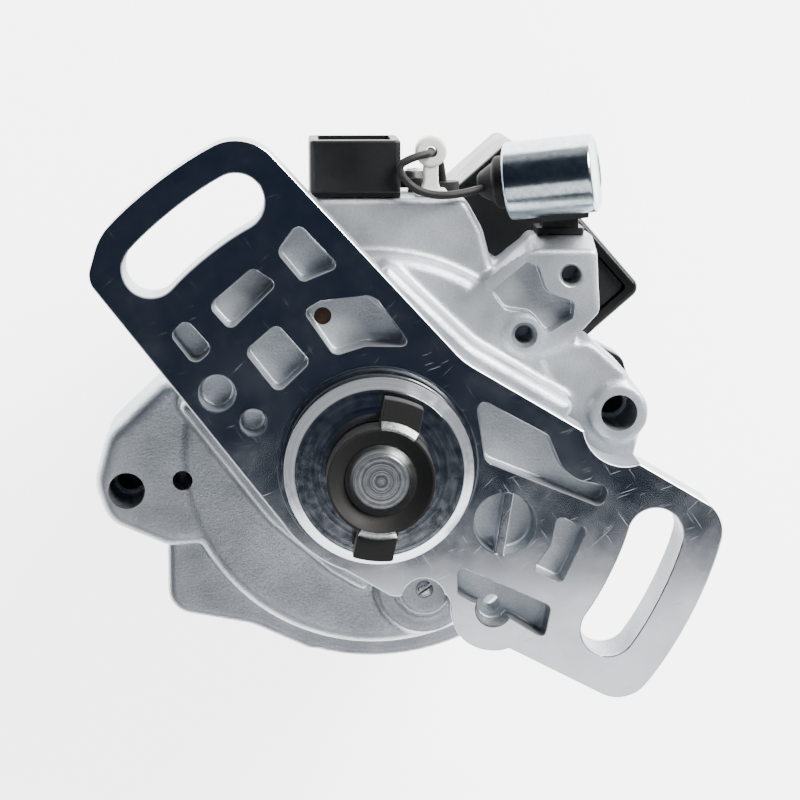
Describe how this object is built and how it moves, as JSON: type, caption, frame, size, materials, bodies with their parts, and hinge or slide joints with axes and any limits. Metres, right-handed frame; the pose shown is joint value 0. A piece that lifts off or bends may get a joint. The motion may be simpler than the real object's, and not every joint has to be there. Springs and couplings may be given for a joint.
{
  "type": "ignition distributor",
  "caption": "Ignition distributor with a slotted mounting flange, offset two-lug drive coupling, side connector, condenser and a moulded cap with plug-lead towers and a built-in coil.",
  "frame": {"origin": "on the shaft axis in the plane of the machined seating face", "axes": "+Z along the shaft, out of the drive end; +Y towards the connector; +X to the right when the drive end faces the viewer"},
  "size_m": [0.109, 0.0971, 0.0943],
  "materials": {
    "cast_aluminium": "cast, seating face machined bright",
    "bright_steel": "turned",
    "black_steel": "phosphated",
    "zinc_plated_steel": "zinc plated",
    "electrode_aluminium": "plain",
    "brass": "plain",
    "copper": "enamelled wire",
    "core_steel": "laminated",
    "bearing_cage_brass": "pressed",
    "black_rubber": "matt",
    "black_plastic": "moulded",
    "natural_nylon": "translucent",
    "carbon": "sintered"
  },
  "bodies": {
    "housing": {"housing": "cast_aluminium", "spigot_o_ring": "black_rubber", "oil_seal": "black_rubber", "front_bearing_outer_race": "bright_steel", "rear_bearing_outer_race": "bright_steel", "bearing_spacer_tube": "bright_steel", "bearing_retainer": "bright_steel", "retainer_screws": "bright_steel", "pickup_base": "bright_steel", "base_screws": "bright_steel", "pickup_sensor": "black_plastic", "sensor_screws": "bright_steel", "ignition_module": "black_plastic", "module_screws": "bright_steel", "body_screw": "bright_steel", "gallery_plug": "brass", "dust_shield": "black_plastic", "cap_gasket": "black_rubber", "distributor_cap": "black_plastic", "cap_screws": "black_steel", "cap_electrodes": "electrode_aluminium", "tower_terminals": "brass", "centre_contact": "brass", "coil_body": "black_plastic", "coil_winding": "copper", "coil_core": "core_steel", "connector_housing": "black_plastic", "connector_terminals": "brass", "connector_seal": "black_rubber", "connector_screw": "bright_steel", "condenser_can": "zinc_plated_steel", "condenser_bracket": "zinc_plated_steel", "condenser_screw": "zinc_plated_steel", "condenser_boot": "black_rubber", "condenser_lead": "black_rubber", "lead_clip": "natural_nylon", "lead_grommet": "black_rubber", "brush_spring": "bright_steel"},
    "shaft": {"shaft": "bright_steel", "drive_coupling": "black_steel", "coupling_pin": "bright_steel", "thrust_washer": "bright_steel", "front_bearing_inner_race": "bright_steel", "rear_bearing_inner_race": "bright_steel", "inner_spacer": "bright_steel", "shaft_circlip": "bright_steel", "trigger_hub": "bright_steel", "trigger_wheel": "bright_steel", "rotor_arm": "black_plastic", "rotor_blade": "brass", "rotor_screw": "bright_steel"},
    "front_cage": {"front_bearing_balls": "bright_steel", "front_bearing_cage": "bearing_cage_brass"},
    "rear_cage": {"rear_bearing_balls": "bright_steel", "rear_bearing_cage": "bearing_cage_brass"},
    "brush": {"carbon_brush": "carbon"}
  },
  "joints": [
    {"name": "shaft_spin", "type": "hinge", "parent": "housing", "child": "shaft", "pos_m": [0, 0, 0], "axis": [0, 0, 1], "continuous": true},
    {"name": "front_cage_orbit", "type": "hinge", "parent": "housing", "child": "front_cage", "pos_m": [0, 0, -0.0056], "axis": [0, 0, 1], "continuous": true},
    {"name": "rear_cage_orbit", "type": "hinge", "parent": "housing", "child": "rear_cage", "pos_m": [0, 0, -0.0204], "axis": [0, 0, 1], "continuous": true},
    {"name": "brush_slide", "type": "slide", "parent": "housing", "child": "brush", "axis": [0, 0, -1], "range_m": [0, 0.0015], "stiffness_N_per_m": 180, "springref_m": -0.003, "deforming": ["brush_spring"]}
  ],
  "couplings": [
    {"joint": "front_cage_orbit", "follows": "shaft_spin", "ratio": 0.39},
    {"joint": "rear_cage_orbit", "follows": "shaft_spin", "ratio": 0.39}
  ]
}
